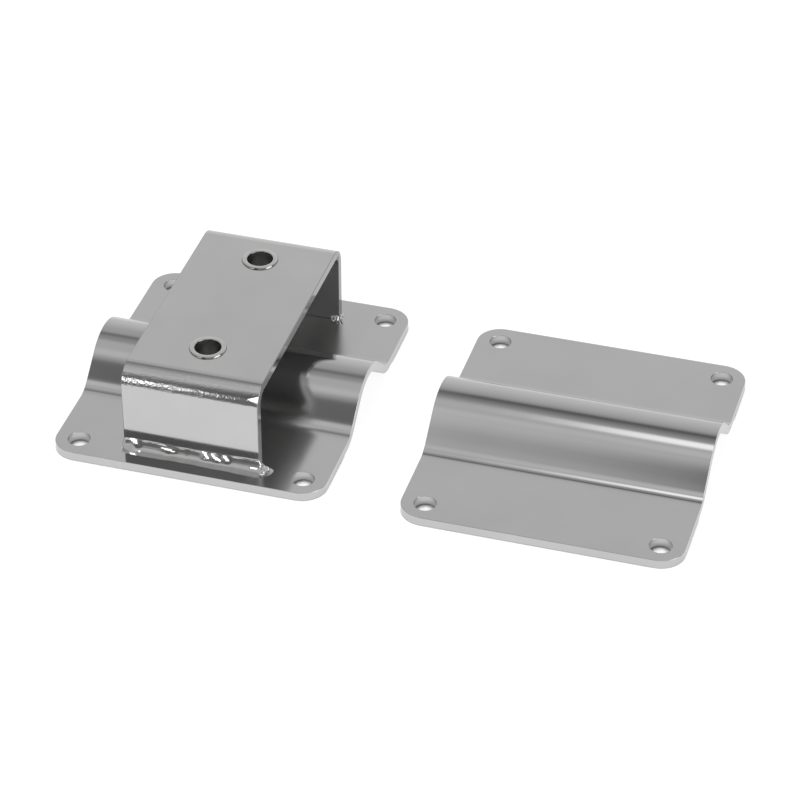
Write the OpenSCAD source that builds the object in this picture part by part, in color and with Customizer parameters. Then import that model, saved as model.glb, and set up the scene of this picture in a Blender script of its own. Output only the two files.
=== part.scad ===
// Rod holder flange: two pressed steel plates that close on a round rail and are bolted
// together at their corners. The saddle plate carries a bent riser bracket, welded along its
// feet, with two threaded rivet nuts in its top for the foot of a rod holder. The clamp plate
// lies beside it, as the pair is before fitting.
// Z is up and the rail runs along X. The origin is the middle of the saddle plate's four bolt
// holes, on its underside.

/* [Rail] */
// Diameter of the rail that the plates close on
rail_d = 25.4; // [22:0.1:32]
// Gap that is left between the two plates when they are closed on the rail
closing_gap = 0.4; // [0:0.1:3]

/* [Clamp plates] */
// Length of each plate along the rail
plate_x = 90; // [80:0.5:110]
// Width of each plate across the rail
plate_y = 105.5; // [102:0.5:125]
// Thickness of the sheet that the plates are pressed from
plate_t = 3; // [2:0.5:4]
// Radius of the plate's corners in plan
corner_r = 8; // [3:0.5:12]
// Slope of the straight flanks beside the rail
flank_angle = 40; // [34:1:46]
// Radius of the bend at the foot of each flank, on the upper side
foot_r = 9; // [6:0.5:16]

/* [Corner bolt holes] */
// From the plate's end to the middle of a bolt hole, along the rail
hole_edge_x = 7.75; // [6.5:0.25:9.5]
// From the plate's side to the middle of a bolt hole, across the rail
hole_edge_y = 7.5; // [6.5:0.25:9.5]
// Diameter of the bolt holes
hole_d = 7.2; // [5:0.1:9]

/* [Riser bracket] */
// Width of the bracket along the rail
bracket_x = 45; // [36:0.5:54]
// Length of the bracket across the rail, over its legs
bracket_y = 88; // [84:0.5:92]
// Height of the bracket's top over the plate that it stands on
bracket_h = 28.9; // [25:0.1:40]
// Thickness of the bar that the bracket is bent from
bracket_t = 3; // [2:0.5:4]
// Inside radius of the bracket's two bends
bend_r = 4; // [2:0.5:6.5]

/* [Welds] */
// Radius of the weld beads
weld_r = 3; // [2:0.1:3.5]
// How far a bead runs past the left end of its leg
weld_overrun = 1.2; // [0.5:0.1:2]
// Radius of the flat dome where the front bead turns round the leg's right end
weld_end_r = 4; // [3.6:0.1:4.6]
// How far the middle of that dome lies past the leg's right end
weld_end_out = 0.7; // [0:0.1:1.2]
// How far the rear bead's round end stands past the leg's right end
rear_weld_overrun = 0.5; // [0:0.1:1]

/* [Rivet nuts] */
// Distance between the two rivet nuts
nut_pitch = 52.2; // [46:0.1:54]
// How far the pair of rivet nuts lies behind the middle of the bracket
nut_offset = 1; // [-1.5:0.1:1.5]
// Diameter of the nut's flange
flange_d = 12; // [12:0.1:15]
// Thickness of the nut's flange
flange_t = 0.5; // [0.4:0.05:1.5]
// Bevel round the upper rim of the flange
flange_bevel = 0.15; // [0.05:0.05:0.3]
// Diameter of the nut's barrel
barrel_d = 11; // [10.5:0.1:11.5]
// Clearance between the barrel and the hole in the bracket
barrel_clearance = 0.05; // [0.02:0.01:0.2]
// Diameter of the collar that the barrel swells to under the bracket
collar_d = 13.6; // [12.5:0.1:15]
// Height of the collar
collar_h = 4.4; // [3:0.1:5]
// Radius of the collar's rounded edges
collar_edge_r = 1.2; // [0.6:0.1:1.4]
// Diameter of the plain mouth above the thread
mouth_d = 8.4; // [8.2:0.1:9]
// Bevel at the rim of the mouth
mouth_bevel = 0.2; // [0.1:0.05:0.4]
// Diameter of the threaded hole between the thread's crests
thread_d = 6.8; // [6.6:0.1:6.9]
// Length of the thread
thread_length = 8; // [6:0.5:9]

/* [Clamp plate beside the saddle plate] */
// Space between the two plates, along the rail
pair_space = 24.5; // [10:0.5:40]
// How far the clamp plate lies in front of the saddle plate
pair_offset = 1.2; // [0:0.1:4]

/* [Hidden] */
$fn = 96;

arc_step = 4;                                   // degrees between the points of an arc
overcut = 1;                                    // how far a cutter runs past a face

groove_r = rail_d / 2;                          // the plate's inside radius over the rail
groove_depth = (rail_d - closing_gap) / 2;      // from the plate's underside to the crest
crest_r = groove_r + plate_t;                   // the plate's outside radius over the rail
crest_z = groove_depth - groove_r;              // height of the middle of those arcs
bend_sum = crest_r + foot_r;
flank_l = (groove_depth - bend_sum * (1 - cos(flank_angle))) / sin(flank_angle);
foot_y = bend_sum * sin(flank_angle) + flank_l * cos(flank_angle);
foot_z = plate_t + foot_r;                      // height of the middle of the foot's arcs
pressed_z = groove_depth + plate_t;             // top of the pressed plate

outer_bend_r = bend_r + bracket_t;
top_z = plate_t + bracket_h;                    // upper face of the bracket
leg_y = bracket_y / 2;                          // outer face of each leg
nut_z = top_z - bracket_t;                      // underside of the bracket's top
thread_z = nut_z - collar_h - thread_length;    // lower end of the rivet nuts
front_nut_y = nut_offset - nut_pitch / 2;
rear_nut_y = nut_offset + nut_pitch / 2;

// Points along an arc round (y, z), from one angle to the other. Angles run from +Y to +Z.
function arc(y, z, r, from, to) =
    let (steps = ceil(abs(to - from) / arc_step))
    [for (i = [0:steps])
        let (a = from + (to - from) * i / steps)
        [y + r * cos(a), z + r * sin(a)]];

// One face of the sheet, from the foot on the +Y side over the crest to the foot on the -Y side.
function face_line(top_r, fillet_r) = concat(
    arc(foot_y, foot_z, fillet_r, 270, 270 - flank_angle),
    arc(0, crest_z, top_r, 90 - flank_angle, 90 + flank_angle),
    arc(-foot_y, foot_z, fillet_r, 270 + flank_angle, 270));

function backwards(points) = [for (i = [len(points) - 1:-1:0]) points[i]];

// The sheet cut across the rail: flat along both sides, with a half-round ridge over the rail.
module plate_section() {
    side = plate_y / 2;
    polygon(concat(
        [[side, 0], [side, plate_t]],
        face_line(crest_r, foot_r),
        [[-side, plate_t], [-side, 0]],
        backwards(face_line(groove_r, foot_r + plate_t))));
}

module plate_outline() {
    square([plate_x - 2 * corner_r, plate_y], center = true);
    square([plate_x, plate_y - 2 * corner_r], center = true);
    for (x = [-1, 1], y = [-1, 1])
        translate([x * (plate_x / 2 - corner_r), y * (plate_y / 2 - corner_r)])
            circle(corner_r);
}

// One half of the clamp, pressed from a single sheet.
module pressed_plate() {
    difference() {
        intersection() {
            rotate([90, 0, 90])
                linear_extrude(plate_x + 2 * overcut, center = true) plate_section();
            translate([0, 0, -overcut])
                linear_extrude(pressed_z + 2 * overcut) plate_outline();
        }
        for (x = [-1, 1], y = [-1, 1])
            translate([x * (plate_x / 2 - hole_edge_x), y * (plate_y / 2 - hole_edge_y), -overcut])
                cylinder(d = hole_d, h = plate_t + 2 * overcut);
    }
}

module saddle_plate() {
    color([0.67, 0.67, 0.67]) pressed_plate();
}

module clamp_plate() {
    color([0.67, 0.67, 0.67])
        translate([plate_x + pair_space, -pair_offset, 0])
            pressed_plate();
}

// The front leg, with the quarter turn that leads into the bracket's top.
module bracket_leg() {
    leg_h = bracket_h - outer_bend_r;
    translate([-bracket_x / 2, -leg_y, plate_t])
        cube([bracket_x, bracket_t, leg_h]);
    translate([0, -leg_y + outer_bend_r, plate_t + leg_h])
        rotate([90, 0, 90])
            rotate([0, 0, 90])
                rotate_extrude(angle = 90)
                    translate([bend_r, -bracket_x / 2])
                        square([bracket_t, bracket_x]);
}

// A flat bar bent down at both ends, with a hole for each rivet nut.
module riser_bracket() {
    flat_y = bracket_y - 2 * outer_bend_r;
    color([0.72, 0.72, 0.72])
        difference() {
            union() {
                bracket_leg();
                mirror([0, 1, 0]) bracket_leg();
                translate([-bracket_x / 2, -flat_y / 2, nut_z])
                    cube([bracket_x, flat_y, bracket_t]);
            }
            for (y = [front_nut_y, rear_nut_y])
                translate([0, y, nut_z - overcut])
                    cylinder(d = barrel_d + 2 * barrel_clearance, h = bracket_t + 2 * overcut);
        }
}

// A round bead in the corner between the front leg and the plate. It starts just past the
// leg's left end, and ends at its right end in a dome of the given radius on the plate, whose
// middle lies the length out past the leg.
module weld_bead(end_r, out) {
    left_x = -bracket_x / 2 - weld_overrun + weld_r;
    right_x = bracket_x / 2;
    dome_sphere_r = (end_r * end_r + weld_r * weld_r) / (2 * weld_r);
    reach = dome_sphere_r + abs(out);
    difference() {
        translate([0, -leg_y, plate_t]) {
            translate([left_x, 0, 0]) sphere(weld_r);
            translate([left_x, 0, 0]) rotate([0, 90, 0]) cylinder(r = weld_r, h = right_x + out - left_x);
            translate([right_x + out, 0, weld_r - dome_sphere_r]) sphere(dome_sphere_r);
        }
        // the plate below, and the leg with the space behind it
        translate([-right_x - reach, -leg_y - 2 * reach, plate_t - 2 * dome_sphere_r])
            cube([2 * right_x + 3 * reach, 4 * reach, 2 * dome_sphere_r]);
        translate([-right_x - reach, -leg_y, 0])
            cube([2 * right_x + reach, 2 * reach, bracket_h]);
    }
}

module front_weld() {
    color([0.55, 0.55, 0.55]) weld_bead(weld_end_r, weld_end_out);
}

// The rear bead ends in a plain quarter ball, just past its leg.
module rear_weld() {
    color([0.55, 0.55, 0.55]) mirror([0, 1, 0]) weld_bead(weld_r, rear_weld_overrun - weld_r);
}

// The barrel's swollen part, hanging from z = 0, with rounded edges.
module nut_collar() {
    reach = collar_d / 2 - collar_edge_r;
    rotate_extrude() {
        translate([0, -collar_h + collar_edge_r])
            square([collar_d / 2, collar_h - 2 * collar_edge_r]);
        translate([0, -collar_h]) square([reach, collar_h]);
        for (z = [-collar_edge_r, -collar_h + collar_edge_r])
            translate([reach, z]) circle(collar_edge_r);
    }
}

// A rivet nut set in its hole: the flange lies on the bracket, the swollen collar grips it
// from below, and the thread is at the lower end.
module rivet_nut() {
    rim_h = flange_t - flange_bevel;
    mouth_z = thread_z + thread_length;
    face_z = top_z + flange_t;
    difference() {
        union() {
            translate([0, 0, top_z]) cylinder(d = flange_d, h = rim_h);
            translate([0, 0, top_z + rim_h])
                cylinder(d1 = flange_d, d2 = flange_d - 2 * flange_bevel, h = flange_bevel);
            translate([0, 0, thread_z]) cylinder(d = barrel_d, h = top_z - thread_z);
            translate([0, 0, nut_z]) nut_collar();
        }
        translate([0, 0, thread_z - overcut])
            cylinder(d = thread_d, h = thread_length + 2 * overcut);
        translate([0, 0, mouth_z]) cylinder(d = mouth_d, h = face_z + overcut - mouth_z);
        translate([0, 0, face_z - mouth_bevel])
            cylinder(d1 = mouth_d, d2 = mouth_d + 2 * mouth_bevel, h = mouth_bevel);
    }
}

module front_rivet_nut() {
    color([0.78, 0.78, 0.76]) translate([0, front_nut_y, 0]) rivet_nut();
}

module rear_rivet_nut() {
    color([0.78, 0.78, 0.76]) translate([0, rear_nut_y, 0]) rivet_nut();
}

saddle_plate();
riser_bracket();
front_weld();
rear_weld();
front_rivet_nut();
rear_rivet_nut();
clamp_plate();
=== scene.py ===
# A rod holder flange: two pressed steel plates for a round rail, one with a welded bracket on it.
import math
import bpy
import numpy as np
from mathutils.geometry import tessellate_polygon
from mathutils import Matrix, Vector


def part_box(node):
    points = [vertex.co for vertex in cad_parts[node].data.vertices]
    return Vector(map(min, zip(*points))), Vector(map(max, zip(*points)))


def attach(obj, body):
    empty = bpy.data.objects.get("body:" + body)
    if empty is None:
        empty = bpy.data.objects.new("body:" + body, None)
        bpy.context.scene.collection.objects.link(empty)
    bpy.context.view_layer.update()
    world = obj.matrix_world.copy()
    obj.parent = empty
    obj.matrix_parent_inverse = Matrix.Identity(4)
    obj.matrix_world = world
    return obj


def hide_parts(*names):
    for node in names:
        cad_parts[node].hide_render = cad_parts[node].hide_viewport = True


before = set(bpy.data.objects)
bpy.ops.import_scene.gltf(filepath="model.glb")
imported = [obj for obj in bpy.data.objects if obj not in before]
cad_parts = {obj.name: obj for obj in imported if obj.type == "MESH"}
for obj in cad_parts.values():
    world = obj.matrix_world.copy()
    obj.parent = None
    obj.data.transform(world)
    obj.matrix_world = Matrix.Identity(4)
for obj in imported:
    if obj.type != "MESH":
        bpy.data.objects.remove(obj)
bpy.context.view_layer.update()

mm = 0.001


# stage: a white floor, a studio of soft greys all round it, and one soft lamp for the shadow
stageLook = {
    "floorSize": 9.0,
    "floorGlow": 0.90,          # what the floor shows without the lamp
    "floorDiffuse": 0.16,       # the share that a shadow can take away
    "floorInSteel": (0.755, 0.68),      # the same glow as the steel reflects it, in front and behind
    "floorFades": (-0.056, -0.026),     # between these places across the rail
    "creviceReach": 0.008,      # painted shadow: the floor's glow goes dark by how much of it is open within this reach
    "creviceOpen": (0.44, 0.54),        # from quite dark to quite light
    "creviceFrom": (0.030, 0.025),      # but only so far out from the rail, where the holes are
    "creviceInSteel": 0.45,     # what the steel still sees of the glow where the floor is dark
    "lampPlace": (-0.35, -0.25, 1.1),
    "lampSize": 0.9,
    "lampPower": 9.0,
    # brightness of the studio against the angle round the X axis: 0 is the horizon at the back,
    # 90 is straight up and 180 is the horizon in front
    "studio": [(0, 0.82), (20, 0.80), (33, 0.71), (41, 0.64), (48, 0.54), (53, 0.38), (57, 0.15), (61, 0.18),
               (65, 0.29), (73, 0.42), (80, 0.60), (88, 0.59), (97, 0.60), (105, 0.71), (114, 0.68),
               (119, 0.53), (124, 0.36), (130, 0.19), (142, 0.14), (166, 0.17), (176, 0.22), (180, 0.34)],
    # what isn't the same from left to right: each line has its amount, a stretch of the ray's x and a
    # stretch of its angle, and a stretch is given by where it starts, is full, is still full and ends;
    # x lies between -1 and 1 and the angle between -180 and 180, so a bound past those is never met
    "shifts": [                 # degrees by which the greys above are read further on
        (-8.0, (-3, -2, -0.245, -0.215), (42, 55, 168, 177)),
        (9.5, (-0.172, -0.12, 2, 3), (112, 119, 150, 170)),
    ],
    "lifts": [                  # brightness that is added
        (0.10, (-3, -2, -0.245, -0.215), (52, 62, 72, 82)),
    ],
    "screens": [                # brightness that takes the place of the greys
        (0.58, (-0.06, 0.18, 2, 3), (100, 125, 200, 210)),              # a grey screen at the right
        (0.58, (-3, -2, -0.8, -0.45), (100, 125, 200, 210)),            # another far to the left
        (1.5, (-0.19, -0.15, 2, 3), (77, 83, 89, 97)),                  # a soft box above, to the right
        (3.0, (-0.74, -0.64, -0.34, -0.25), (149, 153, 158, 166)),      # a strip light in front, to the left
        (3.4, (0.72, 0.79, 0.95, 0.99), (72, 80, 164, 172)),            # a soft box far out at the right
    ],
}


def addNode(tree, kind, inputs=None, **settings):
    node = tree.nodes.new(kind)
    for name, value in settings.items():
        setattr(node, name, value)
    for key, value in (inputs or {}).items():
        socket = node.inputs[key]
        if isinstance(value, bpy.types.NodeSocket):
            tree.links.new(value, socket)
        else:
            socket.default_value = value
    return node


def mathNode(tree, operation, *values):
    return addNode(tree, "ShaderNodeMath", dict(enumerate(values)), operation=operation).outputs[0]


def vectorNode(tree, operation, *values):
    return addNode(tree, "ShaderNodeVectorMath", dict(enumerate(values)), operation=operation).outputs[0]


def fade(tree, value, low, high):
    # 0 below low and 1 above high, with a smooth step between them; low may be the larger
    node = addNode(tree, "ShaderNodeMapRange", {"Value": value, "From Min": low, "From Max": high},
                   interpolation_type="SMOOTHSTEP")
    return node.outputs["Result"]


def window(tree, value, low, lowEdge, highEdge, high):
    # 1 between lowEdge and highEdge, falling smoothly to 0 at low and at high
    return mathNode(tree, "MULTIPLY", fade(tree, value, low, lowEdge), fade(tree, value, high, highEdge))


def mixValue(tree, factor, a, b):
    # a + factor * (b - a), for two numbers or sockets
    span = mathNode(tree, "SUBTRACT", b, a)
    return mathNode(tree, "MULTIPLY_ADD", factor, span, a)


def buildStudio(look):
    # brightness of a ray: the greys read at its angle atan2(z, y), moved on by the shifts, with the
    # lifts added and the screens laid over them; the camera itself sees plain white
    world = bpy.data.worlds.new("studio")
    bpy.context.scene.world = world
    world.use_nodes = True
    tree = world.node_tree
    tree.nodes.clear()
    ray = addNode(tree, "ShaderNodeTexCoord").outputs["Generated"]
    x, y, z = addNode(tree, "ShaderNodeSeparateXYZ", {0: ray}).outputs
    turn = mathNode(tree, "MULTIPLY", mathNode(tree, "ARCTAN2", z, y), 180 / math.pi)

    def within(sides, turns):
        return mathNode(tree, "MULTIPLY", window(tree, x, *sides), window(tree, turn, *turns))

    readAt = turn
    for degrees, sides, turns in look["shifts"]:
        readAt = mathNode(tree, "MULTIPLY_ADD", within(sides, turns), degrees, readAt)
    ramp = addNode(tree, "ShaderNodeValToRGB", {0: mathNode(tree, "DIVIDE", readAt, 180)})
    stops = ramp.color_ramp.elements
    while len(stops) < len(look["studio"]):
        stops.new(0.5)
    for stop, (angle, level) in zip(stops, look["studio"]):
        stop.position = angle / 180
        stop.color = (level, level, level, 1)
    grey = ramp.outputs[0]
    for level, sides, turns in look["lifts"]:
        grey = mathNode(tree, "MULTIPLY_ADD", within(sides, turns), level, grey)
    for level, sides, turns in look["screens"]:
        grey = mixValue(tree, within(sides, turns), grey, level)
    path = addNode(tree, "ShaderNodeLightPath")
    seen = mixValue(tree, path.outputs["Is Camera Ray"], grey, 1.0)
    back = addNode(tree, "ShaderNodeBackground", {"Color": (1, 1, 1, 1), "Strength": seen})
    addNode(tree, "ShaderNodeOutputWorld", {"Surface": back.outputs[0]})


def buildFloor(look):
    half = look["floorSize"] / 2
    corners = [(-half, -half, 0), (half, -half, 0), (half, half, 0), (-half, half, 0)]
    mesh = bpy.data.meshes.new("floor")
    mesh.from_pydata(corners, [], [(0, 1, 2, 3)])
    floor = bpy.data.objects.new("floor", mesh)
    bpy.context.scene.collection.objects.link(floor)
    material = bpy.data.materials.new("whiteFloor")
    material.use_nodes = True
    tree = material.node_tree
    tree.nodes.clear()
    share = look["floorDiffuse"]
    matt = addNode(tree, "ShaderNodeBsdfDiffuse", {"Color": (share, share, share, 1)})
    # the steel sees the floor greyer behind than in front, and the floor's glow is darkened deep in a hole as
    # painted shadow
    where = addNode(tree, "ShaderNodeTexCoord").outputs["Object"]
    across = addNode(tree, "ShaderNodeSeparateXYZ", {0: where}).outputs[1]
    inSteel = mixValue(tree, fade(tree, across, *look["floorFades"]), *look["floorInSteel"])
    around = addNode(tree, "ShaderNodeAmbientOcclusion", {"Distance": look["creviceReach"]}, samples=16)
    openness = mathNode(tree, "MAXIMUM", fade(tree, around.outputs["AO"], *look["creviceOpen"]),
                        fade(tree, mathNode(tree, "ABSOLUTE", across), *look["creviceFrom"]))
    seen = mathNode(tree, "MULTIPLY", openness, look["floorGlow"])
    inSteel = mathNode(tree, "MULTIPLY", inSteel, mixValue(tree, openness, look["creviceInSteel"], 1.0))
    path = addNode(tree, "ShaderNodeLightPath")
    level = mixValue(tree, path.outputs["Is Camera Ray"], inSteel, seen)
    glow = addNode(tree, "ShaderNodeEmission", {"Color": (1, 1, 1, 1), "Strength": level})
    both = addNode(tree, "ShaderNodeAddShader", {0: matt.outputs[0], 1: glow.outputs[0]})
    addNode(tree, "ShaderNodeOutputMaterial", {"Surface": both.outputs[0]})
    mesh.materials.append(material)


def buildLamp(look):
    lamp = bpy.data.lights.new("softLamp", "AREA")
    lamp.size = look["lampSize"]
    lamp.energy = look["lampPower"]
    holder = bpy.data.objects.new("softLamp", lamp)
    holder.location = look["lampPlace"]
    x, y, z = look["lampPlace"]
    holder.rotation_euler = (math.atan2(math.hypot(x, y), z), 0, math.atan2(x, -y))     # faces the origin
    holder.visible_glossy = False
    bpy.context.scene.collection.objects.link(holder)


# camera: solved from the eight corner holes and the outlines of both plates
cameraPlace = {"at": (0.2960, -0.8217, 0.6301), "turn": (53.89, 0.0, 16.31), "lens": 148.5, "sensor": 36.0}


def buildCamera(place):
    data = bpy.data.cameras.new("camera")
    data.lens = place["lens"]
    data.sensor_width = place["sensor"]
    camera = bpy.data.objects.new("camera", data)
    camera.location = place["at"]
    camera.rotation_euler = [math.radians(v) for v in place["turn"]]
    bpy.context.scene.collection.objects.link(camera)
    bpy.context.scene.camera = camera


buildStudio(stageLook)
buildFloor(stageLook)
buildLamp(stageLook)
buildCamera(cameraPlace)
bpy.context.scene.view_settings.view_transform = "Standard"
print("stage, lamp and camera made")


# steel: bright metal with drawn lines, faint smudges and a rippled skin where it was bent, and painted shade
# in some places
cloudSpan = (0.3, 0.7)          # the noise values that give the first and the second tone
insideFade = 0.3 * mm           # how softly the unpolished side begins


def shaded(tree, colour, share, amount):
    # the colour as it is where the share is 0, and times the amount where it is 1
    return vectorNode(tree, "MULTIPLY", colour, mixValue(tree, share, 1.0, amount))


def steelTone(tree, look, place):
    # colour and roughness: a cloudy mix of two of each, changed in the places that the look names; each
    # darkening of the colour there is painted shade
    x, y, z = addNode(tree, "ShaderNodeSeparateXYZ", {0: place}).outputs
    cloud = addNode(tree, "ShaderNodeTexNoise", {"Vector": place, "Scale": look["cloudScale"], "Detail": 3.0})
    tone = addNode(tree, "ShaderNodeValToRGB", {0: cloud.outputs[0]})
    for stop, position, colour in zip(tone.color_ramp.elements, cloudSpan, look["colours"]):
        stop.position = position
        stop.color = (*colour, 1)
    colour = tone.outputs[0]
    spread = dict(zip(("From Min", "From Max", "To Min", "To Max"), (*cloudSpan, *look["roughness"])))
    rough = addNode(tree, "ShaderNodeMapRange", {"Value": cloud.outputs[0], **spread}).outputs["Result"]
    if "crestPaintedShade" in look:
        # painted shade: the crown of the ridge is a little darker
        colour = shaded(tree, colour, fade(tree, z, *look["crestFrom"]), look["crestPaintedShade"])
    if "haze" in look:
        # beside the bracket the flat is duller
        hazy = mathNode(tree, "MULTIPLY", window(tree, x, *look["hazeAt"]), fade(tree, z, *look["hazeBelow"]))
        rough = mixValue(tree, hazy, rough, look["haze"])
    if "edgePaintedShade" in look:
        # painted shade: the cut edge is darker than the faces
        onEdge = fade(tree, mathNode(tree, "ABSOLUTE", x), *look["edgeFrom"])
        colour = shaded(tree, colour, onEdge, look["edgePaintedShade"])
    if "bevelPaintedShade" in look:
        # painted shade: the turned bevel is darker than the face above it
        colour = shaded(tree, colour, window(tree, z, *look["bevelAt"]), look["bevelPaintedShade"])
    if "insidePaintedShade" in look:
        # the side that was never polished: rougher, and darkened by painted shade; so far out at the most and
        # so far up
        out, up = look["insideWithin"]
        inside = mathNode(tree, "MULTIPLY", fade(tree, mathNode(tree, "ABSOLUTE", y), out, out - insideFade),
                          fade(tree, z, up, up - insideFade))
        rough = mixValue(tree, inside, rough, look["insideRough"])
        colour = shaded(tree, colour, inside, look["insidePaintedShade"])
    return colour, rough


def steelSkin(tree, look, place):
    # the way the skin faces: drawn lines all over, ripples in a bend, and one patch that leans
    x, y, z = addNode(tree, "ShaderNodeSeparateXYZ", {0: place}).outputs
    drawn = addNode(tree, "ShaderNodeMapping", {"Vector": place, "Scale": look["grain"]})
    lines = addNode(tree, "ShaderNodeTexNoise", {"Vector": drawn.outputs[0], "Scale": 1.0, "Detail": 2.0})
    bump = addNode(tree, "ShaderNodeBump", {"Height": lines.outputs[0], "Strength": look["grainStrength"],
                                            "Distance": look["grainDepth"]})
    normal = bump.outputs[0]
    if "rippleDepth" in look:
        inBend = mathNode(tree, "MULTIPLY", fade(tree, mathNode(tree, "ABSOLUTE", y), *look["rippleOut"]),
                          fade(tree, z, *look["rippleUp"]))
        strength = mixValue(tree, fade(tree, x, *look["rippleLeft"]), look["rippleAtRight"], 1.0)
        inBend = mathNode(tree, "MULTIPLY", inBend, strength)
        peel = addNode(tree, "ShaderNodeTexNoise", {"Vector": place, "Scale": look["rippleScale"],
                                                    "Detail": 1.0})
        height = mathNode(tree, "MULTIPLY", peel.outputs[0], inBend)
        skin = addNode(tree, "ShaderNodeBump", {"Height": height, "Distance": look["rippleDepth"],
                                                "Normal": normal})
        normal = skin.outputs[0]
    if "flareSlope" in look:
        # a three-cornered patch in front, with its base on the side edge: it lies where
        # x - side + length * (1 - |z - middle| / height) is above 0
        side, middle = look["flareAt"]
        length, height = look["flareSize"]
        off = mathNode(tree, "ABSOLUTE", mathNode(tree, "SUBTRACT", z, middle))
        narrowing = mathNode(tree, "SUBTRACT", 1.0, mathNode(tree, "DIVIDE", off, height))
        past = mathNode(tree, "MULTIPLY_ADD", narrowing, length, mathNode(tree, "SUBTRACT", x, side))
        inFlare = mathNode(tree, "MULTIPLY", fade(tree, past, 0.0, look["flareSoft"]),
                           fade(tree, y, 0.0, -look["flareSide"]))
        lean = mathNode(tree, "MULTIPLY", inFlare, look["flareSlope"])
        leaning = vectorNode(tree, "ADD", normal, addNode(tree, "ShaderNodeCombineXYZ", {0: lean}).outputs[0])
        normal = vectorNode(tree, "NORMALIZE", leaning)
    return normal


def steelMaterial(name, look):
    material = bpy.data.materials.new(name)
    material.use_nodes = True
    tree = material.node_tree
    shader = tree.nodes["Principled BSDF"]
    shader.inputs["Metallic"].default_value = 1.0
    place = addNode(tree, "ShaderNodeTexCoord").outputs["Object"]
    colour, rough = steelTone(tree, look, place)
    tree.links.new(colour, shader.inputs["Base Color"])
    tree.links.new(rough, shader.inputs["Roughness"])
    tree.links.new(steelSkin(tree, look, place), shader.inputs["Normal"])
    return material


# meshes: every piece is a grid of points, worked out as whole arrays
def makeMesh(name, points, faces, material, normals=None):
    mesh = bpy.data.meshes.new(name)
    mesh.from_pydata(points.tolist(), [], [list(map(int, face)) for face in faces])
    mesh.polygons.foreach_set("use_smooth", np.ones(len(mesh.polygons), bool))
    mesh.validate()
    if normals is not None:
        mesh.normals_split_custom_set_from_vertices(normals.tolist())
    mesh.materials.append(material)
    piece = bpy.data.objects.new(name, mesh)
    bpy.context.scene.collection.objects.link(piece)
    return piece


def gridFaces(rows, columns, closeRows, closeColumns, first=0):
    # four corners (i, j), (i+1, j), (i+1, j+1), (i, j+1) for each cell of a grid of points
    i = np.arange(rows if closeRows else rows - 1)[:, None]
    j = np.arange(columns if closeColumns else columns - 1)[None, :]
    nextI, nextJ = (i + 1) % rows, (j + 1) % columns
    corners = [i * columns + j, nextI * columns + j, nextI * columns + nextJ, i * columns + nextJ]
    return np.stack([np.broadcast_to(c, (i.size, j.size)).ravel() for c in corners], 1) + first


def alongRuns(runs, start, heading, s):
    # where a chain of straight runs and arcs has got to after the length s: a run of length L
    # turns evenly by its angle, so the heading is h + turn * u / L, and the point is the sum of
    # (cos heading, sin heading), which is exact on a line and on an arc
    y = np.full_like(s, start[0])
    z = np.full_like(s, start[1])
    h = np.full_like(s, math.radians(heading))
    for length, degrees in runs:
        u = np.clip(s, 0, length)
        s = s - length
        bend = math.radians(degrees) / length
        end = h + bend * u
        if degrees:
            y, z = y + (np.sin(end) - np.sin(h)) / bend, z + (np.cos(h) - np.cos(end)) / bend
        else:
            y, z = y + u * np.cos(h), z + u * np.sin(h)
        h = end
    return y, z, h


def roundedOutline(halfX, halfS, radius, inset, cuts, steps):
    # the sheet's flat outline, anticlockwise: four quarter circles, joined by straight sides that
    # have a point at each cut, and drawn in by inset; the second result is the way outwards
    turns = np.linspace(0, math.pi / 2, steps)
    points, ways = [], []
    for quarter, (signX, signS) in enumerate([(1, -1), (1, 1), (-1, 1), (-1, -1)]):
        a = turns + (quarter - 1) * math.pi / 2
        way = np.stack([np.cos(a), np.sin(a)], 1)
        points.append(np.array([signX * (halfX - radius), signS * (halfS - radius)]) + way * (radius - inset))
        ways.append(way)
        if signX * signS < 0 and len(cuts):
            side = cuts if signX > 0 else cuts[::-1]
            points.append(np.stack([np.full(len(cuts), signX * (halfX - inset)), side], 1))
            ways.append(np.tile([float(signX), 0.0], (len(cuts), 1)))
    return np.concatenate(points), np.concatenate(ways)


def holeOutline(centre, radius, inset, steps):
    # a circle in the sheet, clockwise, opened out by inset; the way out of the steel is to its centre
    a = -np.linspace(0, 2 * math.pi, steps, endpoint=False)
    way = np.stack([np.cos(a), np.sin(a)], 1)
    return np.array(centre) + way * (radius + inset), -way


quarterTurn = np.linspace(0, math.pi / 2, 5)
edgeTurn = np.concatenate([quarterTurn, quarterTurn + math.pi / 2])     # the same at the lower face
edgePoints = len(edgeTurn)      # on each row round an outline or a hole


def edgeProfile(thick, edge):
    # a quarter round at each face: how far inside the outline and how deep in the sheet each point lies
    upper = np.arange(edgePoints) < len(quarterTurn)
    deep = np.where(upper, edge * (1 - np.cos(edgeTurn)), thick - edge * (1 + np.cos(edgeTurn)))
    return edge * (1 - np.sin(edgeTurn)), deep


def ontoChain(form, flat, way, depth):
    # the flat point (x, s) at depth d goes to (x, chain(s)) - d * normal(s); its own normal turns from
    # the way outwards to the face's, which leans along the chain and, in a barrel, to both sides
    s = flat[..., 1] + sum(run[0] for run in form["runs"]) / 2
    y, z, h = alongRuns(form["runs"], form["start"], form["heading"], s)
    points = np.stack([flat[..., 0], y + depth * np.sin(h), z - depth * np.cos(h)], -1)
    out, up = np.sin(edgeTurn), np.cos(edgeTurn)
    lean = h + np.interp(s, form["leanAt"], form["lean"])
    barrel = flat[..., 0] * np.interp(s, form["barrelAt"], form["barrelBy"])
    normals = np.stack([out * way[..., 0] + up * barrel, out * way[..., 1] * np.cos(h) - up * np.sin(lean),
                        out * way[..., 1] * np.sin(h) + up * np.cos(lean)], -1)
    return points, normals


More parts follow.
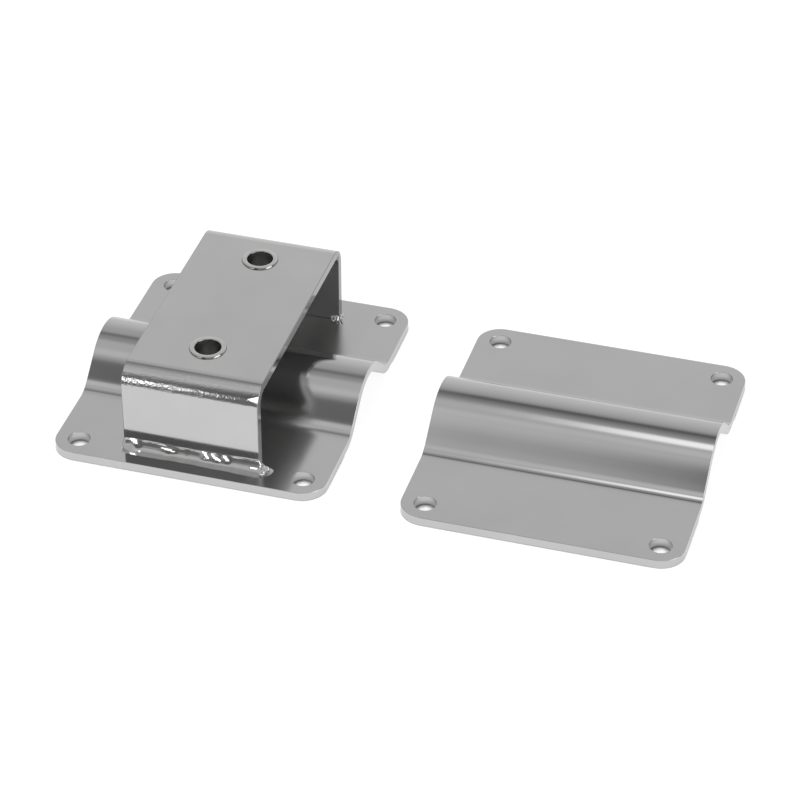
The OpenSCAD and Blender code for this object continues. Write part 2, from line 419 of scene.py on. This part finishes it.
def sheetFaces(flats, firsts, cuts, holes):
    # both faces of the sheet: a strip between each pair of cuts, and beyond the cuts a flat at each end
    # with its holes; flats has the outline and the holes as (x, s), firsts each one's first point
    rings = [first + edgePoints * np.arange(len(flat)) for first, flat in zip(firsts, flats)]
    flatOf = {int(v): spot for ring, flat in zip(rings, flats) for v, spot in zip(ring, flat)}
    x, s = flats[0].T
    right, left = [[int(np.argmin(abs(s - cut) + (x * side < 0))) for cut in cuts] for side in (1, -1)]
    panels = [[right[i], right[i + 1], left[i + 1], left[i]] for i in range(len(cuts) - 1)]
    panels.append([*range(left[0], len(x)), *range(right[0] + 1)])
    panels.append([*range(right[-1], left[-1] + 1)])
    spans = [*zip(cuts[:-1], cuts[1:]), (-math.inf, cuts[0]), (cuts[-1], math.inf)]
    below = edgePoints - 1      # from a point of the upper face to the one under it
    faces = []
    for panel, (low, high) in zip(panels, spans):
        inside = [k for k, (centre, radius) in enumerate(holes, 1) if low < centre[1] < high]
        polygons = [rings[0][panel].tolist(), *(rings[k].tolist() for k in inside)]
        if not inside:
            faces.append(polygons[0])
            faces.append([v + below for v in polygons[0][::-1]])
            continue
        names = [v for polygon in polygons for v in polygon]
        for triangle in tessellate_polygon([[(*flatOf[v], 0.0) for v in polygon] for polygon in polygons]):
            a, b, c = (names[i] for i in triangle)
            ab, ac = flatOf[b] - flatOf[a], flatOf[c] - flatOf[a]
            if ab[0] * ac[1] - ab[1] * ac[0] < 0:
                b, c = c, b
            faces.append([a, b, c])
            faces.append([c + below, b + below, a + below])
    return faces


def foldedSheet(name, form, material, place=(0, 0, 0)):
    # a sheet with an outline and holes, laid along a chain of runs; it is cut across at even steps of
    # each arc, so that every strip between two cuts is plane
    total = sum(run[0] for run in form["runs"])
    bends = np.cumsum([0] + [run[0] for run in form["runs"]])
    cuts = [np.linspace(bends[i], bends[i + 1], max(2, round(abs(run[1]) / form["step"])) + 1)
            for i, run in enumerate(form["runs"]) if run[1]]
    cuts = np.unique(np.round(np.concatenate([*cuts, form["moreCuts"]]), 9)) - total / 2
    inset, depth = edgeProfile(form["thick"], form["edge"])
    outline = [roundedOutline(form["halfX"], total / 2, form["corner"], i, cuts, form["cornerSteps"])
               for i in inset]
    loops = [(outline, depth)]
    inset, depth = edgeProfile(form["thick"], form["holeRim"])
    for centre, radius in form["holes"]:
        loops.append(([holeOutline(centre, radius, i, form["holeSteps"]) for i in inset], depth))
    points, normals, faces, firsts, flats = [], [], [], [], []
    count = 0
    for rings, depth in loops:
        flat, way = (np.stack(part, 1) for part in zip(*rings))
        p, n = ontoChain(form, flat, way, depth)
        points.append(p.reshape(-1, 3))
        normals.append(n.reshape(-1, 3))
        faces.extend(gridFaces(len(flat), edgePoints, True, False, count)[:, ::-1].tolist())
        firsts.append(count)
        flats.append(flat[:, 0])
        count += len(flat) * edgePoints
    faces += sheetFaces(flats, firsts, cuts, form["holes"])
    return makeMesh(name, np.concatenate(points) + np.array(place), faces, material, np.concatenate(normals))


# the two pressed plates
plateForm = {
    "thick": 3.0 * mm,
    "corner": 8.0 * mm,
    "edge": 0.14 * mm,
    "holeRim": 0.12 * mm,
    # how the skin leans off the true arcs: on the foot by (its arc's angle, the skin's angle), on the
    # flank by (share of the way down, degrees steeper)
    "footSkin": [(0, 0), (8, 1), (12, 4.5), (15, 9.5), (18, 16), (22, 21), (28, 29), (34, 37), (40, 40)],
    "flankSkin": [(0, -1.5), (0.1, -1.5), (0.5, 1.2), (0.7, 1.2), (0.9, 0.3), (1, 0)],
    "railRadius": 12.7 * mm,
    "grooveDepth": 12.5 * mm,
    "flankAngle": 40.0,
    "footRadius": 9.0 * mm,
    "holeRadius": 3.6 * mm,
    "holeEdge": (7.75 * mm, 7.5 * mm),
    "step": 1.0,                # degrees of an arc between two cuts
    "cornerSteps": 17,
    "holeSteps": 64,
    "skinSteps": 40,
}
rolledLook = {
    "colours": ((0.58, 0.58, 0.58), (0.61, 0.61, 0.608)),
    "roughness": (0.09, 0.12),
    "cloudScale": 45.0,
    "grain": (60.0, 2600.0, 2600.0),
    "grainStrength": 0.08,
    "grainDepth": 0.02 * mm,
}
# the plates' look, with painted shade on the crown of the ridge
sheetLook = dict(rolledLook, crestPaintedShade=0.88, crestFrom=(13.6 * mm, 15.2 * mm))


def buildPlate(node, form, material):
    # the section is flat, foot, flank, crest, flank, foot, flat: with the crest's radius R over the
    # rail, the foot's radius r and the flank's angle a, the flank is as long as the groove's depth
    # leaves it after (R + r) * (1 - cos a)
    low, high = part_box(node)
    halfX, halfY = (high.x - low.x) / 2, (high.y - low.y) / 2
    a = math.radians(form["flankAngle"])
    crest = form["railRadius"] + form["thick"]
    bendSum = crest + form["footRadius"]
    flank = (form["grooveDepth"] - bendSum * (1 - math.cos(a))) / math.sin(a)
    footY = bendSum * math.sin(a) + flank * math.cos(a)
    side = halfY - footY
    foot, top = form["footRadius"] * a, crest * 2 * a
    rising = [(side, 0), (foot, form["flankAngle"]), (flank, 0)]
    runs = [*rising, (top, -2 * form["flankAngle"]), *rising[::-1]]
    total = sum(run[0] for run in runs)
    holeX, holeS = halfX - form["holeEdge"][0], total / 2 - form["holeEdge"][1]
    # the skin's lean, sampled up one side, and the same with its sign turned down the other
    share = np.linspace(0, 1, form["skinSteps"] + 1)
    angle = share * form["flankAngle"]
    footLean = np.interp(angle, *np.transpose(form["footSkin"])) - angle
    flankLean = np.interp(share, *np.transpose(form["flankSkin"]))
    leanAt = np.concatenate([side + share * foot, side + foot + share * flank])
    lean = np.radians(np.concatenate([footLean, flankLean[::-1]]))
    leanAt = np.concatenate([leanAt, total - leanAt[::-1]])
    lean = np.concatenate([lean, -lean[::-1]])
    cutsOnFlank = side + foot + share[1:-1] * flank
    holes = [((x * holeX, s * holeS), form["holeRadius"]) for x in (-1, 1) for s in (-1, 1)]
    sheet = dict(form, runs=runs, start=(-halfY, form["thick"]), heading=0.0, halfX=halfX, holes=holes,
                 leanAt=leanAt, lean=lean, barrelAt=[0.0], barrelBy=[0.0],
                 moreCuts=np.concatenate([cutsOnFlank, total - cutsOnFlank]))
    middle = ((low.x + high.x) / 2, (low.y + high.y) / 2, low.z)
    piece = foldedSheet(node + "_sheet", sheet, material, middle)
    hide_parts(node)
    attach(piece, "root")
    return piece


saddleLook = dict(sheetLook, haze=0.24, hazeAt=(18.0 * mm, 22.0 * mm, 29.0 * mm, 37.0 * mm),
                  hazeBelow=(7.0 * mm, 4.0 * mm))
saddleForm = dict(plateForm,
                  footSkin=[(0, 0), (9, 0.5), (13, 2.5), (16, 6.5), (19, 10), (22, 14.5), (25, 20), (28, 25),
                            (31, 30), (34, 35), (37, 38), (40, 40)],
                  flankSkin=[(0, 0), (0.1, 4), (0.2, 6.5), (0.3, 9.5), (0.4, 10.5), (0.8, 10.5), (0.9, 8.5),
                             (0.97, 2), (1, 0)])
buildPlate("saddle_plate", saddleForm, steelMaterial("saddleSteel", saddleLook))
buildPlate("clamp_plate", plateForm, steelMaterial("clampSteel", sheetLook))
print("pressed plates made")


# the riser bracket, a flat bar bent down at both ends
bracketForm = {
    "thick": 3.0 * mm,
    "outerBend": 7.0 * mm,
    "corner": 0.5 * mm,
    "edge": 0.22 * mm,
    "holeRim": 0.12 * mm,
    "holeRadius": 5.5 * mm,
    "step": 2.0,                # degrees of an arc between two cuts
    "cornerSteps": 5,
    "holeSteps": 64,
    # the skin's lean, in degrees less steep: on the front leg by height, on its bend by the arc's angle
    "legSkin": [(0, 1.6), (7, 1.6), (9.3, 0)],
    "bendSkin": [(89, 0), (84, 4), (78, 5.5), (72, 5.2), (66, 3.8), (60, 3), (54, 2.2), (48, 0.5), (44, 0)],
    "legCuts": np.arange(1, 13) * mm,
    # how far the front bend's skin leans to the sides at its two ends, by the degrees from the leg
    "barrel": [(0, 0), (12, 0.04), (60, 0.04), (85, 0)],
}
barLook = dict(rolledLook,
               rippleOut=(38.5 * mm, 41.0 * mm),        # the ripples grow out towards the leg
               rippleUp=(24.0 * mm, 25.5 * mm),         # and up from it
               rippleLeft=(8.0 * mm, -4.0 * mm),        # full at the left, and weaker at the right
               rippleAtRight=0.6,
               rippleScale=1900.0,
               rippleDepth=0.065 * mm,
               flareAt=(22.5 * mm, 28.45 * mm),         # where the front bend's right end is beaten outwards
               flareSize=(3.8 * mm, 1.2 * mm),
               flareSoft=0.4 * mm,
               flareSide=10.0 * mm,                     # so far in front of the middle it is full
               flareSlope=0.75,
               # painted shade on the bar's cut edges
               edgePaintedShade=0.58,
               edgeFrom=(22.2 * mm, 22.35 * mm),
               insideRough=0.45,
               # painted shade inside the bracket's arch
               insidePaintedShade=0.78,
               insideWithin=(41.3 * mm, 29.2 * mm))


def buildBracket(node, form, material):
    # the section is leg, bend, flat, bend, leg, as wide and as high as the node's box
    low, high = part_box(node)
    halfX, halfY = (high.x - low.x) / 2, (high.y - low.y) / 2
    bend = form["outerBend"]
    leg, flat = high.z - low.z - bend, 2 * (halfY - bend)
    nutBoxes = [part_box(name) for name in ("front_rivet_nut", "rear_rivet_nut")]
    nutPlaces = [(box[0].y + box[1].y) / 2 for box in nutBoxes]
    runs = [(leg, 0), (bend * math.pi / 2, -90), (flat, 0), (bend * math.pi / 2, -90), (leg, 0)]
    legHeight, legLean = np.transpose(form["legSkin"])
    bendAngle, bendLean = np.transpose(form["bendSkin"])
    barrelAngle, barrel = np.transpose(form["barrel"])
    sheet = dict(form, runs=runs, start=(-halfY, low.z), heading=90.0, halfX=halfX,
                 leanAt=np.concatenate([legHeight * mm, leg + bend * np.radians(90 - bendAngle)]),
                 lean=-np.radians(np.concatenate([legLean, bendLean])), moreCuts=form["legCuts"],
                 barrelAt=leg + bend * np.radians(barrelAngle), barrelBy=barrel / halfX,
                 holes=[((0.0, y), form["holeRadius"]) for y in nutPlaces])
    piece = foldedSheet(node + "_bar", sheet, material)
    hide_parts(node)
    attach(piece, "root")
    return piece


buildBracket("riser_bracket", bracketForm, steelMaterial("barSteel", barLook))
print("riser bracket made")


# the weld beads, in the corner between each leg and the saddle plate
weldForm = {
    # the bead cut across, in mm: how far out from the leg and how far up from the plate each point lies
    "section": [(0.0, 3.15), (0.03, 3.03), (0.12, 2.7), (0.3, 2.49), (0.46, 2.3), (0.75, 1.94), (1.0, 1.63),
                (1.25, 1.38), (1.5, 1.13), (1.76, 0.9), (2.06, 0.68), (2.4, 0.485), (2.83, 0.33),
                (3.31, 0.22), (3.8, 0.13), (4.3, 0.05), (4.45, 0.03), (4.55, 0.0)],
    "startsBefore": 0.6 * mm,
    "step": 0.15 * mm,
    "turnSteps": (40, 24),      # on the way round the outer and the inner corner
    "turnsRound": 2.2 * mm,     # how far it goes on along the leg's right end
    "turnsIn": 0.0,             # and then along its inner face
    "turnReach": 3.0 * mm,      # how far out the way round a corner is measured
    "sink": 0.02 * mm,
    "size": 0.94,
    "sizes": [(7, 1), (16, 1.12)],      # how the bead's size changes, by place along it
    "lumps": [(0.036, 40), (0.024, 14)],        # how much its size varies, and over how many steps
    "endRounds": (1.6 * mm, 2.2 * mm),
    "leastSize": 0.02,
    "scalePitch": 1.6 * mm,     # the scales of the bead's end, past the leg's right corner
    "scaleHeight": 0.0,
    "scaleSlant": 0.3,
    "scaleMean": 0.7,
    # drops on the bead: place along it in mm, with the leg's right corner at 22.5, how far out of the
    # section's width, height and half length
    "drops": [(-19.4, 0.5, 0.21, 2.0), (-18.2, 0.2, 0.21, 1.6), (-7.2, 0.2, 0.14, 2.6),
              (5.0, 0.22, 0.21, 1.6), (8.4, 0.24, 0.21, 1.8), (11.8, 0.22, 0.21, 1.3),
              (24.6, 0.5, 0.49, 1.0), (27.4, 0.5, 0.56, 0.9)],
    "dropWidth": 0.17,
    # flat glints: place along it, how far round the section, half length, half width and slant
    "glints": [(-19.0, 0.13, 1.5, 0.13, 0.085), (-18.2, 0.93, 1.5, 0.12, 0.05), (-16.5, 0.66, 0.5, 0.07, 0.0),
               (-7.3, 0.29, 2.6, 0.07, 0.02), (5.0, 0.21, 1.4, 0.11, 0.12), (8.5, 0.28, 1.9, 0.1, 0.07),
               (11.8, 0.22, 1.2, 0.1, 0.07), (21.2, 0.46, 1.5, 0.06, 0.0), (24.2, 0.35, 0.5, 0.07, 0.0)],
    "glintWay": (-0.097, -0.847, 0.523),
    "seed": 7,
}
weldLook = {
    "colours": ((0.56, 0.56, 0.555), (0.62, 0.62, 0.615)),
    "roughness": (0.08, 0.14),
    "cloudScale": 300.0,
    "grain": (60.0, 1900.0, 1900.0),
    "grainStrength": 0.45,
    "grainDepth": 0.05 * mm,
}
tiny = 1e-12                    # keeps a length that is divided by above 0


def smoothRandom(rng, count, stretch):
    # random numbers joined by smooth curves, one knot every stretch samples
    knots = rng.uniform(-1, 1, int(count / stretch) + 3)
    t = np.arange(count) / stretch
    i = t.astype(int)
    u = t - i
    u = u * u * (3 - 2 * u)
    return knots[i] * (1 - u) + knots[i + 1] * u


def weldPath(form, halfX, face):
    # the foot of a leg, followed from its left corner along its face, round its right end and, where
    # the form has it, on along its inner face: places, the way outwards, length gone, place along
    along = np.arange(-halfX - form["startsBefore"], halfX, form["step"])
    back = np.arange(0, form["turnsRound"], form["step"])
    inner = np.arange(0, form["turnsIn"], form["step"])
    turn = np.linspace(270, 360, form["turnSteps"][0])
    turnIn = np.linspace(360, 450, form["turnSteps"][1] if len(inner) else 0)
    way = np.radians(np.concatenate([np.full(len(along), 270.0), turn, np.full(len(back), 360.0), turnIn,
                                     np.full(len(inner), 450.0)]))
    x = np.concatenate([along, np.full(len(turn) + len(back) + len(turnIn), halfX), halfX - inner])
    y = -face + np.concatenate([np.zeros(len(along) + len(turn)), back,
                                np.full(len(turnIn) + len(inner), back[-1])])
    moved = np.hypot(np.diff(x, prepend=x[0]), np.diff(y, prepend=y[0]))
    gone = np.cumsum(moved + abs(np.diff(way, prepend=way[0])) * form["turnReach"])
    return x, y, way[:, None], gone, gone - gone[len(along) - 1] + halfX


def weldSizes(form, gone, placeAlong):
    # the size along the bead: smooth lumps, times the form's own sizes, and times
    # sqrt(1 - (1 - share)^2) over the share of each end's rounding that is gone
    rng = np.random.default_rng(form["seed"])
    lumps = [height * smoothRandom(rng, len(gone), stretch) for height, stretch in form["lumps"]]
    size = (form["size"] + sum(lumps)) * np.interp(placeAlong / mm, *np.transpose(form["sizes"]))
    for length, rounding in zip((gone, gone[-1] - gone), form["endRounds"]):
        share = np.clip(length / rounding, 0, 1)
        size = size * np.sqrt(np.clip(1 - (1 - share) ** 2, form["leastSize"] ** 2, 1))
    return size


def unit(vectors):
    return vectors / (np.linalg.norm(vectors, axis=-1, keepdims=True) + tiny)


def beadNormals(form, curved, way, placeAlong, around, side):
    # square to both of the grid's directions and outwards, but turned to one way in each glint: it is
    # full where near = (off / length)^2 + (off round / width)^2 is below 0.83, and gone at 1.25
    normals = unit(np.cross(np.gradient(curved, axis=0), np.gradient(curved, axis=1)))
    outwards = np.stack([np.cos(way), np.sin(way), np.ones_like(way)], -1)
    normals *= np.sign(np.sum(normals * outwards, 2, keepdims=True))
    normals[..., 1] *= -side
    for place, share, length, width, slant in form["glints"]:
        off = placeAlong[:, None] / mm - place
        near = (off / length) ** 2 + ((around - share - slant * off) / width) ** 2
        inGlint = np.clip(3 - 2.4 * near, 0, 1)[..., None]
        normals = normals * (1 - inGlint) + inGlint * np.array(form["glintWay"])
    return unit(normals)


def buildWeld(node, form, legNode, side, material):
    # at each step of its path the bead's section is scaled by its size there, with scales and drops,
    # and set outwards from the foot of the leg; side is -1 for the front leg and 1 for the rear one
    low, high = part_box(legNode)
    halfX, floorZ = (high.x - low.x) / 2, low.z - form["sink"]
    footX, footY, way, gone, placeAlong = weldPath(form, halfX, high.y)
    section = np.array(form["section"]) * mm
    across = section[:, 0] / section[-1, 0]
    scales = np.abs(np.sin(math.pi * (gone[:, None] - gone[-1]) / form["scalePitch"]
                           + form["scaleSlant"] * across))
    pastCorner = np.clip((placeAlong - halfX) / mm + 0.5, 0, 1)[:, None]
    size = weldSizes(form, gone, placeAlong)[:, None]
    size = size * (1 + pastCorner * form["scaleHeight"] * (scales - form["scaleMean"]))
    out, up = size * section[:, 0], size * section[:, 1]
    for place, share, height, length in form["drops"]:
        off = (placeAlong[:, None] - place * mm) / (length * mm)
        lift = height * mm * np.exp(-off ** 2 - ((across - share) / form["dropWidth"]) ** 2)
        out, up = out + lift * (across > 0), up + lift * (across < 1)
    curved = np.stack([footX[:, None] + out * np.cos(way), footY[:, None] + out * np.sin(way),
                       floorZ + up], -1)
    heel = np.stack([footX, footY, np.full(len(gone), floorZ)], -1)[:, None, :]
    points = np.concatenate([curved, heel], 1)
    count, width = points.shape[:2]
    faces = gridFaces(count, width, False, True).tolist()
    faces += [list(range(width)), [(count - 1) * width + i for i in range(width)][::-1]]
    around = np.concatenate([[0], np.cumsum(np.hypot(*np.diff(section, axis=0).T))])
    normals = beadNormals(form, curved, way, placeAlong, around / around[-1], side)
    normals = np.concatenate([normals, np.tile([0.0, 0.0, -1.0], (count, 1, 1))], 1)
    # the bead is worked out in front; the rear one is its mirror image
    points[..., 1] *= -side
    if side < 0:
        faces = [face[::-1] for face in faces]
    piece = makeMesh(node + "_bead", points.reshape(-1, 3), faces, material, normals.reshape(-1, 3))
    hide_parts(node)
    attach(piece, "root")
    return piece


weldSteel = steelMaterial("weldSteel", weldLook)
buildWeld("front_weld", weldForm, "riser_bracket", -1, weldSteel)
rearForm = dict(weldForm, seed=19, turnsRound=3.0 * mm, turnsIn=3.2 * mm, scaleHeight=0.4, drops=[],
                sizes=[(7, 1), (19, 0.8), (23, 0.3), (30, 0.2), (32, 0.6), (38, 0.6)],
                glints=[(31.0, 0.3, 0.5, 0.2, 0), (32.6, 0.55, 0.5, 0.16, 0), (34.0, 0.25, 0.6, 0.16, 0),
                        (35.3, 0.65, 0.5, 0.14, 0), (36.8, 0.35, 0.5, 0.14, 0)])
buildWeld("rear_weld", rearForm, "riser_bracket", 1, weldSteel)
print("weld beads made")


# the two rivet nuts, each turned from one piece, with its thread
nutForm = {
    "flangeRadius": 6.0 * mm,
    "flangeHigh": 0.5 * mm,
    "faceRadius": 5.71 * mm,    # where the flange's bevel begins
    "mouthRadius": 4.2 * mm,
    "mouthEdge": 0.3 * mm,
    "barrelRadius": 5.5 * mm,
    "barrelEdge": 0.3 * mm,
    "collarRadius": 6.8 * mm,
    "collarHigh": 4.4 * mm,
    "collarEdge": 1.2 * mm,
    "threadRadius": 3.4 * mm,
    "threadDepth": 0.55 * mm,
    "threadLong": 8.0 * mm,
    "threadPitch": 1.25 * mm,
    "threadSharp": 1.15,        # above 1 the thread's roots are flat
    "threadRows": 80,
    "barThick": 3.0 * mm,
    "columns": 96,
}
nutLook = {
    "colours": ((0.60, 0.60, 0.59), (0.66, 0.66, 0.65)),
    "roughness": (0.07, 0.12),
    "cloudScale": 300.0,
    "grain": (900.0, 900.0, 3000.0),
    "grainStrength": 0.05,
    "grainDepth": 0.02 * mm,
    # painted shade on the flange's bevel
    "bevelPaintedShade": 0.42,
    "bevelAt": (31.89 * mm, 31.92 * mm, 32.34 * mm, 32.38 * mm),
    "insideRough": 0.30,
    # painted shade on the nut below its face and in its bore
    "insidePaintedShade": 0.80,
    "insideWithin": (60.0 * mm, 32.0 * mm),
}


def arcPoints(centre, radius, fromAngle, toAngle, steps=7):
    # points (r, z) on an arc about a centre, with angles from +r towards +z
    a = np.radians(np.linspace(fromAngle, toAngle, steps))
    return np.stack([centre[0] + radius * np.cos(a), centre[1] + radius * np.sin(a)], 1)


def nutProfile(form, bottom, face):
    # the closed outline (r, z): up the outside, over the collar and the flange, and down the bore; the
    # small steps beside each sharp edge keep it sharp under smooth shading
    rim, flange, mouth = form["faceRadius"], form["flangeRadius"], form["mouthRadius"]
    barrel, barrelEdge = form["barrelRadius"], form["barrelEdge"]
    collarEdge, mouthEdge = form["collarEdge"], form["mouthEdge"]
    crest, rows = form["threadRadius"], form["threadRows"]
    seat = face - form["flangeHigh"]
    under = seat - form["barThick"]
    collarLow = under - form["collarHigh"]
    collarMiddle = form["collarRadius"] - collarEdge
    threadTop = bottom + form["threadLong"]
    heights = np.linspace(threadTop - 0.2 * mm, bottom + 0.3 * mm, rows)
    return np.concatenate([
        [(crest + 0.4 * mm, bottom), (barrel - barrelEdge, bottom), (barrel, bottom + barrelEdge)],
        [(barrel, collarLow - 0.15 * mm)],
        arcPoints((collarMiddle, collarLow + collarEdge), collarEdge, -90, 0),
        arcPoints((collarMiddle, under - collarEdge), collarEdge, 0, 90),
        [(barrel, under), (barrel, seat), (flange - 0.05 * mm, seat)],
        [(flange, seat + 0.03 * mm), (flange - 0.01 * mm, seat + 0.07 * mm)],
        [(rim + 0.03 * mm, face - 0.04 * mm), (rim, face - 0.01 * mm), (rim - 0.04 * mm, face)],
        arcPoints((mouth + mouthEdge, face - mouthEdge), mouthEdge, 90, 180),
        [(mouth, threadTop + 0.5 * mm), (mouth, threadTop + 0.1 * mm), (crest + 0.3 * mm, threadTop)],
        np.stack([np.full(rows, crest), heights], 1),
    ])


def buildNut(node, form, material):
    # the profile (r, z) turned about the nut's axis; in the threaded stretch the radius is
    # r + depth * wave(z / pitch - turn), where wave is a triangle from 0 to 1
    low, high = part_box(node)
    centre = ((low.x + high.x) / 2, (low.y + high.y) / 2)
    profile = nutProfile(form, low.z, high.z)
    r, z = profile[:, :1], profile[:, 1:]
    threaded = np.zeros_like(r)
    threaded[-form["threadRows"]:] = form["threadDepth"]
    turn = np.arange(form["columns"]) / form["columns"]
    wave = 1 - np.abs(2 * ((z / form["threadPitch"] - turn) % 1.0) - 1)
    radius = r + threaded * np.clip(wave * form["threadSharp"], 0, 1)
    a = turn * 2 * math.pi
    points = np.stack([centre[0] + radius * np.cos(a), centre[1] + radius * np.sin(a),
                       np.broadcast_to(z, radius.shape)], -1)
    faces = gridFaces(len(profile), form["columns"], True, True)[:, ::-1]
    piece = makeMesh(node + "_turned", points.reshape(-1, 3), faces, material)
    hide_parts(node)
    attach(piece, "root")
    return piece


nutSteel = steelMaterial("nutSteel", nutLook)
buildNut("front_rivet_nut", nutForm, nutSteel)
buildNut("rear_rivet_nut", nutForm, nutSteel)
print("rivet nuts made")
